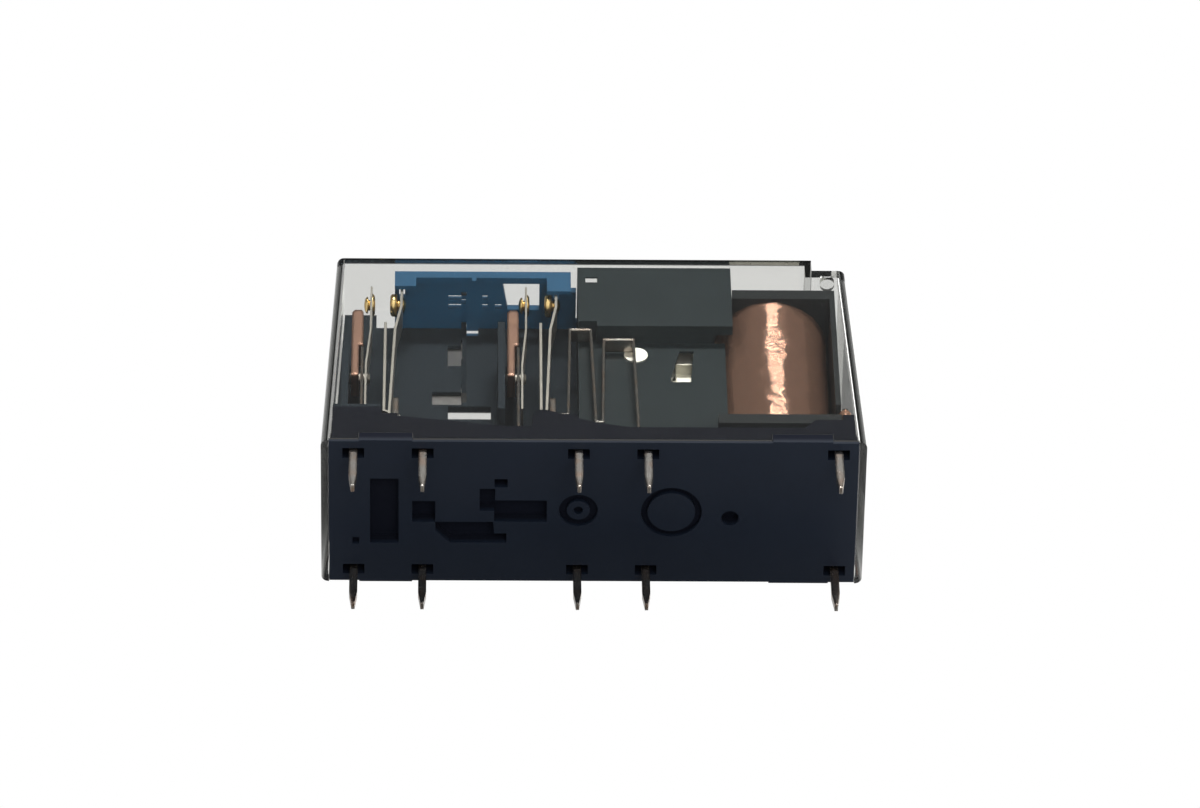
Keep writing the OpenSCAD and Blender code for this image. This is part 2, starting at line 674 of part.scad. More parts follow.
module moving_terminal_meander() color(tinned) lift() {
  foot_x = second_x + moving_u;
  foot_mid = plinth_h + foot_t / 2;
  low = foot_mid - 0.85;
  first_top = housing_step - 0.09;
  second_top = housing_step - 1.34;
  meander_root(0);
  translate([housing_x0, 0, 0]) strip([
    [meander_end - housing_x0, slab_h - 0.1], [4.1, second_top], [1.9, second_top], [1.7, low],
    [1.2, low - 0.05], [0.93, first_top], [-0.62, first_top], [-0.85, foot_mid],
    [foot_x - 0.3 - housing_x0, foot_mid]
  ], meander_t, meander_y0, meander_y1);
  block([foot_x - 0.45, -leaf_y, plinth_h], [foot_x + 0.9, leaf_w - leaf_y, plinth_h + foot_t]);
  block([foot_x + 0.3, -leaf_y, plinth_h + 0.1], [foot_x + 0.75, leaf_w - leaf_y, plinth_h + 2.3]);
  pin_shape(pin_x4, -pin_y);
}

// The coil terminals are the same on both sides
module coil_root(s, g) mirrored(s) {
  block([pin_x5 - pin_t / 2 - g, post_y0 - g, pocket_h - g],
    [bobbin_x + 0.5 + g, pin_y + g, pocket_h + link_h + g]);
  block([bobbin_x + 0.1 - g, post_y0 - g, pocket_h], [bobbin_x + 0.5 + g, post_y1 + g, slab_h + g]);
}

module mirrored(s) mirror([0, s < 0 ? 1 : 0, 0]) children();

module coil_terminal(s) color(tinned) lift() {
  coil_root(s, 0);
  mirrored(s) block([bobbin_x + 0.1, post_y0, slab_h - 0.1], [bobbin_x + 0.5, post_y1, winding_z + 1.2]);
  pin_shape(pin_x5, s * pin_y);
}

// The end of the coil wire: turns on the post, then over to the winding
wire_r = 0.07;
lead_y = core_gap / 2 + 2.6;
module coil_lead(s) color(copper_wire) lift() mirrored(s) {
  turns = 4;
  post = [bobbin_x + 0.3, (post_y0 + post_y1) / 2];
  turn_r = 0.2 * sqrt(2) + wire_r + 0.01;
  d = [coil_x + 3.5, lead_y] - post;
  translate([post[0], post[1], winding_z + 0.2]) {
    rotate_extrude() for (k = [0:turns - 1]) {
      translate([turn_r, 1.9 * k * wire_r]) circle(r = wire_r, $fn = 16);
    }
    rotate([0, 90, atan2(d[1], d[0])]) translate([0, 0, turn_r]) {
      cylinder(r = 0.9 * wire_r, h = norm(d) - turn_r - 0.05, $fn = 16);
    }
  }
}

// The fixed side of a contact set

module rivet_hole() translate([0, -contact_y, rivet_z]) rotate([0, 90, 0]) {
  cylinder(r = 0.3, h = 4, center = true, $fn = 24);
}

blade_u = 0.8;
blade_top = contact_z - 2.01;
collar_u = 0.25;
module backing_blade(i) color(copper_blade) lift() at_set(i) difference() {
  across(-leaf_y, -leaf_y + leaf_w) polygon([
    [-blade_u, rivet_z - 0.8], [-collar_u, rivet_z - 0.8], [-collar_u, riser_top + 0.3],
    [0.05, riser_top + 0.3], [0.05, blade_top - 0.3], [-0.1, blade_top],
    [0.2 - blade_u, blade_top], [-blade_u, blade_top - 0.3]
  ]);
  rivet_hole();
}

leaf_u = 0.29;
contact_leaf_u = 0.62;
module contact_leaf(i) color(spring_metal) lift() at_set(i) difference() {
  strip([
    [leaf_u - 0.02, plinth_h + 1], [leaf_u, rivet_z + 0.6],
    [contact_leaf_u - 0.02, bend_z], [contact_leaf_u, contact_z + 1]
  ], leaf_t, -leaf_y, leaf_w - leaf_y);
  rivet_hole();
  translate([0, -contact_y, contact_z]) rotate([0, 90, 0]) cylinder(r = 0.4 + fit, h = 2, $fn = 32);
}

// Turns a profile of radius against u about the axis of a contact or rivet
module turned(z) translate([0, -contact_y, z]) rotate([0, 90, 0]) rotate_extrude($fn = 32) children();

module leaf_rivet(i) color(spring_metal) lift() at_set(i) turned(rivet_z) polygon([
  [0, -0.95], [0.4, -0.95], [0.5, -blade_u], [0.28, -blade_u],
  [0.28, 0.01 - collar_u], [0.42, 0.01 - collar_u], [0.42, -riser_t / 2 - 0.01], [0.28, -riser_t / 2 - 0.01],
  [0.28, riser_t / 2], [0.42, riser_t / 2],
  [0.42, leaf_u - leaf_t / 2 - 0.01], [0.28, leaf_u - leaf_t / 2 - 0.01], [0.28, leaf_u + leaf_t / 2 + 0.01],
  [0.5, leaf_u + leaf_t / 2 + 0.01], [0.35, leaf_u + 0.3], [0, leaf_u + 0.3]
]);

module fixed_contact(i) color(contact_gold) lift() at_set(i) turned(contact_z) {
  r = contact_d / 2;
  back = contact_leaf_u - leaf_t / 2 - 0.01;
  front = contact_leaf_u + leaf_t / 2 + 0.01;
  polygon([
    [0, 0.06], [0.5, 0.06], [0.65, 0.2], [0.65, back], [0.4, back], [0.4, front],
    [r, front], [r - 0.12, fixed_face - 0.02], [r - 0.4, fixed_face], [0, fixed_face]
  ]);
}

// The moving side: a spring in the shape of a narrow V, its long leg ending in a tip that the card carries

leg = [
  [moving_u + 0.05, foot_z], [moving_u + 0.42, bend_z],
  [tip_u - 0.05, contact_z - 1.56], [tip_u, contact_z + 0.95]
];
module moving_spring(i) color(spring_metal) lift() at_set(i) at_rest(i) {
  difference() {
    strip(leg, spring_t, -leaf_y, -leaf_y + leaf_w);
    translate([0, -contact_y, contact_z]) rotate([0, 90, 0]) cylinder(r = 0.4 + fit, h = 4, $fn = 32);
  }
  strip([
    [moving_u + 0.1, foot_z + 0.25], [moving_u - 0.33, foot_z + 0.5], [moving_u - 0.3, bend_z + 0.8]
  ], spring_t, -leaf_y, leaf_w - leaf_y);
  block([tip_u - spring_t / 2, -contact_y - tip_w / 2, contact_z + 0.9],
    [tip_u + spring_t / 2, tip_w / 2 - contact_y, card_top - 0.15]);
}

module moving_contact(i) color(contact_gold) lift() at_set(i) at_rest(i) turned(contact_z) {
  r = contact_d / 2;
  back = tip_u - 0.02 - spring_t / 2 - 0.015;
  rear = tip_u + spring_t / 2 + 0.015;
  polygon([
    [0, moving_face], [r - 0.4, moving_face], [r - 0.12, moving_face + 0.03], [r, moving_face + 0.25],
    [0.6, moving_face + 0.4], [0.6, back], [0.4, back], [0.4, rear],
    [0.65, rear], [0.5, rear + 0.2], [0, rear + 0.2]
  ]);
}

cover();
base();
armature_housing();
bobbin();
coil_winding();
core();
yoke();
pole_plate();
armature();
drive_arm();
pivot_pin();
card();
coil_terminal(-1);  // coil_terminal_front
coil_terminal(1);  // coil_terminal_rear
coil_lead(-1);  // coil_lead_front
coil_lead(1);  // coil_lead_rear
fixed_terminal(0);  // fixed_terminal_front_1
fixed_terminal(1);  // fixed_terminal_front_2
fixed_terminal(2);  // fixed_terminal_rear_1
fixed_terminal(3);  // fixed_terminal_rear_2
backing_blade(0);  // backing_blade_front_1
backing_blade(1);  // backing_blade_front_2
backing_blade(2);  // backing_blade_rear_1
backing_blade(3);  // backing_blade_rear_2
contact_leaf(0);  // contact_leaf_front_1
contact_leaf(1);  // contact_leaf_front_2
contact_leaf(2);  // contact_leaf_rear_1
contact_leaf(3);  // contact_leaf_rear_2
leaf_rivet(0);  // leaf_rivet_front_1
leaf_rivet(1);  // leaf_rivet_front_2
leaf_rivet(2);  // leaf_rivet_rear_1
leaf_rivet(3);  // leaf_rivet_rear_2
fixed_contact(0);  // fixed_contact_front_1
fixed_contact(1);  // fixed_contact_front_2
fixed_contact(2);  // fixed_contact_rear_1
fixed_contact(3);  // fixed_contact_rear_2
moving_terminal(0);  // moving_terminal_front_1
moving_terminal_meander();  // moving_terminal_front_2
moving_terminal(2);  // moving_terminal_rear_1
moving_terminal(3);  // moving_terminal_rear_2
moving_spring(0);  // moving_spring_front_1
moving_spring(1);  // moving_spring_front_2
moving_spring(2);  // moving_spring_rear_1
moving_spring(3);  // moving_spring_rear_2
moving_contact(0);  // moving_contact_front_1
moving_contact(1);  // moving_contact_front_2
moving_contact(2);  // moving_contact_rear_1
moving_contact(3);  // moving_contact_rear_2
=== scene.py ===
"""Finishes the relay, winds its coil, turns its contacts, and sets up the studio round it.

Lengths are in metres, in the frame of the solids: the tips of the pins stand on z = 0, +Z is up, +X runs
from the contacts to the coil, and the side with the first two contact sets faces -Y.
"""

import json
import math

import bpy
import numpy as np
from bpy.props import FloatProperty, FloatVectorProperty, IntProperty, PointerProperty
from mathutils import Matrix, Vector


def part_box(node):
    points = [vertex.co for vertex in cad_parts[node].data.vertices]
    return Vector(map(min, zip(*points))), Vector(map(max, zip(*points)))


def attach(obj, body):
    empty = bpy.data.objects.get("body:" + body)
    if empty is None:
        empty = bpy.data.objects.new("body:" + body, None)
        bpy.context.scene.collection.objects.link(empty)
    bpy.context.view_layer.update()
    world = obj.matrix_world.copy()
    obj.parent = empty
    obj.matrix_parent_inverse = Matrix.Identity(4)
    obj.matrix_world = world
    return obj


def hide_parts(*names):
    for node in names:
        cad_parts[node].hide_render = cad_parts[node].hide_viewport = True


bl_info = {
    "name": "Relay Dresser",
    "version": (1, 0, 0),
    "blender": (4, 5, 0),
    "location": "3D View > Sidebar > Relay",
    "description": "Finishes a relay in a clear cover and sets up its studio",
    "category": "Object",
}

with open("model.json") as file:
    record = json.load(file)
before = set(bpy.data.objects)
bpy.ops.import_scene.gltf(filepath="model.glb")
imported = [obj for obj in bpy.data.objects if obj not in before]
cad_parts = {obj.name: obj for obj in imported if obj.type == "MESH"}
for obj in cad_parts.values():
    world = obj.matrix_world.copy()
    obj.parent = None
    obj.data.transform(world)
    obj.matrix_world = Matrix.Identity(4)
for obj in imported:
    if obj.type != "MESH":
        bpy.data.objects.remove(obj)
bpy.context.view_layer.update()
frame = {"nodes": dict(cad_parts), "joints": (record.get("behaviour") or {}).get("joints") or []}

MM = 0.001
SETS = ("front_1", "front_2", "rear_1", "rear_2")
SIDES = ("front", "rear")
JOINTS = {joint["name"]: joint for joint in frame["joints"]}
WHITE = (1.0, 1.0, 1.0, 1.0)

# What a surface group puts out: the kind of each output, and the input of the shader that it feeds
SURFACE = {
    "Colour": ("NodeSocketColor", "Base Color"),
    "Roughness": ("NodeSocketFloat", "Roughness"),
    "Normal": ("NodeSocketVector", "Normal"),
}

# Lower and upper corner of each thin web of the barrier, as x and z in millimetres
WEBS = {
    "barrier_web_low": ((-11.9, 16.3), (-9.7, 17.9)),
    "barrier_web_high": ((-10.74, 21.2), (-9.64, 23.76)),
}

# The waves in which a turn of the coil sways: how many go round, how high each is as a share of the whole
# sway, and how far its phase wanders from one turn to the next, in radians
WAVES = np.array([3, 7, 12, 19, 29, 43])
WAVE_HEIGHTS = np.array([0.9, 0.8, 0.75, 0.6, 0.5, 0.38])
WAVE_WANDER = np.array([0.15, 0.35, 0.6, 0.9, 1.2, 1.5])

# Each lamp's bearing and height in degrees, its distance and its width and height in metres, and its power
# in watts, and then the point that all of them face
LAMPS = {
    "Key Lamp": (6, 24, 0.5, (0.19, 0.05), 3.7),
    "Fill Lamp": (12, -48, 0.5, (0.25, 0.25), 1.5),
    "Back Lamp": (120, 35, 0.6, (0.4, 0.3), 0.9),
}
LAMPS_FACE = Vector((0, 0, 0.015))


# Kinds of property


def colour(name, about, default):
    return FloatVectorProperty(
        name=name, description=about, default=default, subtype="COLOR", min=0, max=1
    )


def length(name, about, default, low=0.0):
    return FloatProperty(
        name=name, description=about, default=default, min=low, unit="LENGTH", precision=6
    )


def share(name, about, default, high=1.0):
    return FloatProperty(name=name, description=about, default=default, min=0, max=high)


def degrees(name, about, default):
    return FloatProperty(
        name=name, description=about, default=math.radians(default), subtype="ANGLE"
    )


def count(name, about, default, low, high):
    return IntProperty(name=name, description=about, default=default, min=low, max=high)


class RelayPlastics(bpy.types.PropertyGroup):
    """Colours and gloss of the moulded pieces."""

    cover: colour("Cover", "Tint of the clear cover", (0.99, 0.99, 0.975))
    cover_body: colour("Cover Body", "What a long way in the clear plastic leaves of light", (0.1, 0.11, 0.1))
    cover_density: FloatProperty(
        name="Cover Density", description="How soon the clear plastic darkens, per metre", default=210, min=0
    )
    # Painted shade: the dark colour of the cover where one looks into the thickness of its walls and roof
    cover_edge_shade: colour("Cover Edge", "Tint where one looks into its thickness", (0.035, 0.04, 0.04))
    cover_ior: FloatProperty(
        name="Cover IOR", description="Refraction of the clear plastic", default=1.5, min=1, max=2
    )
    cover_roughness: share("Cover Haze", "How much the clear plastic scatters", 0.03)
    wall: length("Wall", "Thickness of the end walls of the cover", 0.5 * MM)
    roof: length("Roof", "Thickness of the roof of the cover", 0.6 * MM)
    end_draft: degrees("End Draft", "Lean of the end walls", 2.1)
    seat: length("Seat", "Height of the underside of the base", 4.4 * MM)
    plinth: length("Plinth", "Height of the plinth above the underside", 4.6 * MM)
    base: colour("Base", "Blue-black moulding of the base", (0.0045, 0.0075, 0.014))
    base_roughness: share("Base Roughness", "Gloss of the base", 0.42)
    barrier: colour("Barrier", "The barrier and towers of the base, inside the cover", (0.013, 0.018, 0.023))
    # Painted shade: the colour of the recesses of the base, darkened where little light gets in
    recess_shade: colour("Recess", "The recesses of the base, where little light gets in", (0.001, 0.002, 0.006))
    recess_roughness: share("Recess Roughness", "Roughness inside the recesses of the base", 0.9)
    web: colour("Web", "Light that the thin webs of the barrier let through", (0.3, 0.29, 0.28))
    housing: colour("Housing", "Dark grey moulding of the armature housing", (0.0115, 0.017, 0.019))
    bobbin: colour("Bobbin", "Black moulding of the bobbin", (0.011, 0.013, 0.014))
    housing_roughness: share("Housing Roughness", "Gloss of the housing and bobbin", 0.4)
    arm: colour("Arm", "Black moulding of the drive arm", (0.02, 0.02, 0.022))
    card: colour("Card", "Blue moulding of the card", (0.012, 0.06, 0.122))
    card_roughness: share("Card Roughness", "Gloss of the card", 0.38)
    grain: length("Grain Size", "Size of the fine grain of the moulded surfaces", 0.12 * MM, 1e-5)


class RelayMetals(bpy.types.PropertyGroup):
    """Colours and gloss of the metal pieces."""

    tin: colour("Tin", "Tinned terminals and pins", (0.41, 0.39, 0.36))
    tin_worn: colour("Worn Tin", "Copper alloy that shows through the tin", (0.5, 0.3, 0.19))
    spring: colour("Spring", "Plated spring strip", (0.44, 0.42, 0.38))
    blade: colour("Blade", "Bare copper alloy of the backing blades", (0.5, 0.3, 0.225))
    gold: colour("Gold", "Plating of the contacts", (0.85, 0.62, 0.27))
    iron: colour("Iron", "Plated soft iron of the magnet", (0.66, 0.64, 0.56))
    steel: colour("Steel", "Turned end of the pivot pin", (0.9, 0.89, 0.82))
    wire: colour("Wire", "Enamelled copper wire", (0.375, 0.215, 0.152))
    wire_roughness: share("Wire Roughness", "Gloss of the enamel", 0.13)
    brushing: length("Brushing", "Spacing of the rolling marks on strip", 0.05 * MM, 1e-5)
    stamped_edge: length("Stamped Edge", "Radius that stamping leaves on the terminals", 0.28 * MM)
    blade_edge: length("Blade Edge", "Radius that stamping leaves on the backing blades", 0.3 * MM)


class RelayCoil(bpy.types.PropertyGroup):
    """How the coil is wound."""

    pitch: length("Wire Pitch", "Distance from one turn to the next", 0.16 * MM, 2e-5)
    roundness: share("Roundness", "How much of the round of a wire stands out of the layer", 0.6)
    layers: length("Layers", "Thickness of all the layers of wire", 2.2 * MM)
    steps: count("Steps", "Points across the round of one wire", 6, 4, 12)
    sides: count("Sides", "Points round the whole winding", 150, 48, 400)
    sway: length("Sway", "How far a turn strays from its neighbours", 0.016 * MM)
    seed: IntProperty(name="Seed", description="Seed of the uneven turns", default=4)
    lead_turns: count("Lead Turns", "Turns of wire on each post", 5, 1, 9)


class RelayStage(bpy.types.PropertyGroup):
    """The camera, the light from all round and the floor."""

    azimuth: degrees("Azimuth", "Camera's bearing from the front", -1.858)
    elevation: degrees("Elevation", "Camera's height above the level", -53.583)
    roll: degrees("Roll", "Camera's roll", -1.214)
    distance: length("Distance", "From the camera to its target", 0.6)
    target: FloatVectorProperty(
        name="Target", description="The point that the camera looks at", unit="LENGTH",
        default=(0.00069, 0, 0.017823),
    )
    focal_px: FloatProperty(
        name="Focal Length", description="Focal length in pixels of the photograph", default=8005.9
    )
    photo_width: FloatProperty(
        name="Photograph Width", description="Width of the photograph in pixels", default=1200
    )
    sensor: length("Sensor", "Width of the camera's sensor", 0.036)
    ambient: share("Even Light", "Strength of the light from all round", 0.5, 4.0)
    gloss_light: share("Bright Surroundings", "What gloss reflects from most directions", 0.6, 4.0)
    gloss_dark: share("Dark Surroundings", "What gloss reflects from above in front", 0.12, 4.0)
    dark_height: degrees("Dark Height", "Height of the middle of the dark patch", 50)
    dark_core: degrees("Dark Core", "Angle from its middle that is fully dark", 30)
    dark_reach: degrees("Dark Reach", "Angle from its middle where the dark patch ends", 75)
    floor: colour("Floor", "Pale floor", (0.86, 0.86, 0.86))
    floor_radius: length("Floor Radius", "Radius of the round floor", 1.5)
    floor_drop: length("Floor Drop", "How far the floor lies below the tips of the pins", 0.02 * MM)
    fade_start: length("Fade Start", "Where the floor starts to turn white, from its middle", 0.06)
    fade_end: length("Fade End", "Where the floor has turned white, from its middle", 0.4)


GROUPS = {
    "relay_plastics": RelayPlastics,
    "relay_metals": RelayMetals,
    "relay_coil": RelayCoil,
    "relay_stage": RelayStage,
}


# Node trees


def feed(tree, socket, value):
    """Gives an input its value, or links it to an output of another node."""
    if isinstance(value, bpy.types.NodeSocket):
        tree.links.new(value, socket)
    else:
        socket.default_value = value


def add_node(tree, kind, **values):
    """Adds a node. A value is an attribute of the node, or else an input by its name with _ for spaces."""
    node = tree.nodes.new(kind)
    for name, value in values.items():
        if hasattr(node, name):
            setattr(node, name, value)
        else:
            feed(tree, node.inputs[name.replace("_", " ")], value)
    return node


def calculated(tree, operation, *values):
    """The result of a Math node."""
    node = add_node(tree, "ShaderNodeMath", operation=operation)
    for socket, value in zip(node.inputs, values):
        feed(tree, socket, value)
    return node.outputs[0]


def ranged(tree, value, **limits):
    """The result of a Map Range node, which runs straight from one limit to the other."""
    return add_node(tree, "ShaderNodeMapRange", Value=value, **limits).outputs["Result"]


def stepped(tree, value, **limits):
    """The result of a Map Range node, which runs as a smooth step from one limit to the other."""
    return ranged(tree, value, interpolation_type="SMOOTHSTEP", **limits)


def noise(tree, place, scale, detail):
    return add_node(tree, "ShaderNodeTexNoise", Vector=place, Scale=scale, Detail=detail).outputs["Fac"]


def blended(tree, amount, first, second):
    """The colour between two others."""
    node = add_node(tree, "ShaderNodeMix", data_type="RGBA", Factor=amount, A=first, B=second)
    return node.outputs["Result"]


def mixed(tree, amount, first, second):
    """A Mix Shader node between two shader nodes."""
    node = tree.nodes.new("ShaderNodeMixShader")
    for socket, value in zip(node.inputs, (amount, first.outputs[0], second.outputs[0])):
        tree.links.new(value, socket)
    return node


def separated(tree, vector):
    """The X, Y and Z outputs of a vector."""
    return add_node(tree, "ShaderNodeSeparateXYZ", Vector=vector).outputs


def place_on_piece(tree):
    return add_node(tree, "ShaderNodeTexCoord").outputs["Object"]


def rgba(rgb):
    return (*rgb, 1.0)


def new_group(name, inputs):
    """A surface group with named inputs, the sockets that it takes them from, and those it puts out to."""
    tree = bpy.data.node_groups.new(name, "ShaderNodeTree")
    for label, default in inputs.items():
        kind = "NodeSocketColor" if isinstance(default, tuple) else "NodeSocketFloat"
        tree.interface.new_socket(label, in_out="INPUT", socket_type=kind).default_value = default
    for label, (kind, _) in SURFACE.items():
        tree.interface.new_socket(label, in_out="OUTPUT", socket_type=kind)
    return tree, tree.nodes.new("NodeGroupInput").outputs, tree.nodes.new("NodeGroupOutput").inputs


def moulded_group():
    """Moulded surface: a faint cloudy change of colour and gloss, and a fine grain in the normal.

    With n a slow noise from 0 to 1, the colour and the roughness are multiplied by 1 + Cloud (2 n - 1).
    """
    name = "Moulded Surface"
    if name in bpy.data.node_groups:
        return bpy.data.node_groups[name]
    defaults = {
        "Colour": (0.1, 0.1, 0.1, 1), "Roughness": 0.4, "Cloud": 0.2,
        "Grain Size": 0.1 * MM, "Grain Depth": 0.1,
    }
    tree, into, out = new_group(name, defaults)
    place = place_on_piece(tree)
    cloud = ranged(tree, noise(tree, place, 260.0, 3.0), To_Min=-1.0)
    gain = calculated(tree, "ADD", calculated(tree, "MULTIPLY", cloud, into["Cloud"]), 1.0)
    tint = add_node(tree, "ShaderNodeVectorMath", operation="SCALE", Vector=into["Colour"], Scale=gain)
    grain = noise(tree, place, calculated(tree, "DIVIDE", 1.0, into["Grain Size"]), 1.0)
    bump = add_node(
        tree, "ShaderNodeBump", Distance=0.01 * MM, Strength=into["Grain Depth"], Height=grain
    )
    feed(tree, out["Colour"], tint.outputs[0])
    feed(tree, out["Roughness"], calculated(tree, "MULTIPLY", into["Roughness"], gain))
    feed(tree, out["Normal"], bump.outputs[0])
    return tree


def rolled_group():
    """Rolled strip: fine marks along Z, blotches where the plating is thin, and uneven gloss.

    The marks are a noise stretched along Z. They raise the normal, whose edges are rounded off first, and
    multiply the roughness. A second noise, cut off where it is low, mixes in the worn colour.
    """
    name = "Rolled Strip"
    if name in bpy.data.node_groups:
        return bpy.data.node_groups[name]
    defaults = {
        "Colour": (0.7, 0.7, 0.7, 1), "Worn Colour": (0.5, 0.3, 0.2, 1), "Wear": 0.3, "Roughness": 0.3,
        "Mark Spacing": 0.05 * MM, "Mark Depth": 0.2, "Edge Radius": 0.03 * MM,
    }
    tree, into, out = new_group(name, defaults)
    place = place_on_piece(tree)
    worn = ranged(tree, noise(tree, place, 900.0, 4.0), From_Min=0.45, From_Max=0.7)
    wear = calculated(tree, "MULTIPLY", worn, into["Wear"])
    stretched = add_node(tree, "ShaderNodeMapping", Vector=place, Scale=(1.0, 1.0, 0.06)).outputs[0]
    marks = noise(tree, stretched, calculated(tree, "DIVIDE", 1.0, into["Mark Spacing"]), 2.0)
    uneven = ranged(tree, marks, To_Min=0.75, To_Max=1.3)
    rounded = add_node(tree, "ShaderNodeBevel", samples=6, Radius=into["Edge Radius"]).outputs[0]
    bump = add_node(
        tree, "ShaderNodeBump",
        Distance=0.004 * MM, Strength=into["Mark Depth"], Height=marks, Normal=rounded,
    )
    feed(tree, out["Colour"], blended(tree, wear, into["Colour"], into["Worn Colour"]))
    feed(tree, out["Roughness"], calculated(tree, "MULTIPLY", into["Roughness"], uneven))
    feed(tree, out["Normal"], bump.outputs[0])
    return tree


# Materials


def new_material(name):
    """An empty material, with its tree, its Principled shader and its output."""
    material = bpy.data.materials.new(name)
    material.use_nodes = True
    tree = material.node_tree
    tree.nodes.clear()
    shader = add_node(tree, "ShaderNodeBsdfPrincipled")
    output = add_node(tree, "ShaderNodeOutputMaterial")
    tree.links.new(shader.outputs[0], output.inputs["Surface"])
    return material, tree, shader, output


def surfaced_material(name, group, levels, **values):
    """A material whose shader takes its colour, roughness and normal from a group fed with these values.

    The levels are inputs of the shader that are the same all over.
    """
    material, tree, shader, _ = new_material(name)
    surface = add_node(tree, "ShaderNodeGroup", node_tree=group, **values)
    for label, (_, socket) in SURFACE.items():
        tree.links.new(surface.outputs[label], shader.inputs[socket])
    for socket, level in levels.items():
        shader.inputs[socket].default_value = level
    return material


def moulded_material(name, tint, roughness, grain, depth=0.15, cloud=0.12, gloss=0.2, clear=0.0):
    return surfaced_material(
        name, moulded_group(), {"Specular IOR Level": gloss, "Transmission Weight": clear},
        Colour=rgba(tint), Roughness=roughness, Cloud=cloud, Grain_Size=grain, Grain_Depth=depth,
    )


def strip_material(name, tint, worn, roughness, spacing, wear=0.3, depth=0.1, edge=0.03 * MM, metal=1.0):
    return surfaced_material(
        name, rolled_group(), {"Metallic": metal},
        Colour=rgba(tint), Worn_Colour=rgba(worn), Wear=wear, Roughness=roughness,
        Mark_Spacing=spacing, Mark_Depth=depth, Edge_Radius=edge,
    )


def paint(nodes, material):
    """Puts one material on each of the solids named."""
    for name in nodes:
        mesh = frame["nodes"][name].data
        mesh.materials.clear()
        mesh.materials.append(material)


# Surfaces worked out with numpy


def grid_faces(rows, columns, close_rows=False):
    """Quads between the points of a grid whose columns go round, row by row.

    They face outwards where the columns go round clockwise as seen along the rows.
    """
    i = np.arange(rows if close_rows else rows - 1)[:, None]
    j = np.arange(columns)[None, :]
    i2, j2 = (i + 1) % rows, (j + 1) % columns
    corners = [i * columns + j, i * columns + j2, i2 * columns + j2, i2 * columns + j]
    return np.stack([np.broadcast_to(c, (i.size, j.size)) for c in corners], axis=-1).reshape(-1, 4)


def capped(points):
    """Faces of a tube with a flat many-sided face at each end."""
    rows, columns = points.shape[:2]
    faces = [list(f) for f in grid_faces(rows, columns)]
    faces.append(list(range(columns))[::-1])
    faces.append(list(range((rows - 1) * columns, rows * columns)))
    return faces


def add_surface(name, points, faces, material, smooth=True):
    """An object from arrays of points and faces."""
    mesh = bpy.data.meshes.new(name)
    mesh.from_pydata(points.reshape(-1, 3).tolist(), [], [list(map(int, f)) for f in faces])
    mesh.validate()
    mesh.polygons.foreach_set("use_smooth", np.full(len(mesh.polygons), smooth))
    mesh.materials.append(material)
    surface = bpy.data.objects.new(name, mesh)
    bpy.context.scene.collection.objects.link(surface)
    return surface


def add_piece(name, points, faces, material, body, smooth=True):
    """A piece of the relay, which rides on a body."""
    piece = add_surface(name, points, faces, material, smooth)
    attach(piece, body)
    return piece


def stadium(radius, gap, points):
    """Outline of a bar with round ends: x and y of its points, its outward normals, and their distance.

    The distance s runs round two half circles of the radius, whose centres lie gap apart along y, and
    two straight sides. On a half circle the point is its centre plus radius times (cos a, sin a).
    """
    arc = math.pi * radius
    s = np.linspace(0, 2 * arc + 2 * gap, points, endpoint=False)
    parts = [s < arc, s < arc + gap, s < 2 * arc + gap]
    angle = np.select(parts, [s / radius, np.full_like(s, math.pi), (s - gap) / radius], 0)
    straight_up, straight_down = -gap / 2 + (s - 2 * arc - gap), gap / 2 - (s - arc)
    along = np.select(parts, [gap / 2, straight_down, -gap / 2], straight_up)
    normal = np.stack([np.cos(angle), np.sin(angle)], axis=-1)
    return np.stack([radius * normal[:, 0], radius * normal[:, 1] + along], axis=-1), normal, s


def tube(path, radius, sides=8):
    """Surface of a wire: circles of the radius in the plane across the path, carried along it.

    The path's tangent comes from its differences, and one side of the circle is the cross product of
    the tangent with an up direction that the path never takes.
    """
    tangent = np.gradient(path, axis=0)
    tangent /= np.linalg.norm(tangent, axis=1, keepdims=True)
    across = np.cross(tangent, np.array([0.03, 0.02, 1.0]))
    across /= np.linalg.norm(across, axis=1, keepdims=True)
    up = np.cross(tangent, across)
    turn = np.linspace(0, 2 * math.pi, sides, endpoint=False)[None, :, None]
    return path[:, None, :] + radius * (np.cos(turn) * across[:, None, :] + np.sin(turn) * up[:, None, :])


def spun(profile, sides):
    """Surface of revolution: each (radius, distance) of the profile goes round the X axis.

    A point is (distance, radius cos a, radius sin a), with a going once round.
    """
    turn = np.linspace(0, 2 * math.pi, sides, endpoint=False)[None, :]
    radius, distance = profile[:, 0][:, None], profile[:, 1][:, None]
    return np.stack([distance + 0 * turn, radius * np.cos(turn), radius * np.sin(turn)], axis=-1)


def turned_about_y(points, centre, angle):
    """Points turned by an angle about an axis along -Y through a centre, as the joints turn."""
    x, z = points[..., 0] - centre[0], points[..., 2] - centre[2]
    c, s = math.cos(angle), math.sin(angle)
    out = points.copy()
    out[..., 0] = centre[0] + c * x - s * z
    out[..., 2] = centre[2] + s * x + c * z
    return out


# Operators, one for each group of pieces


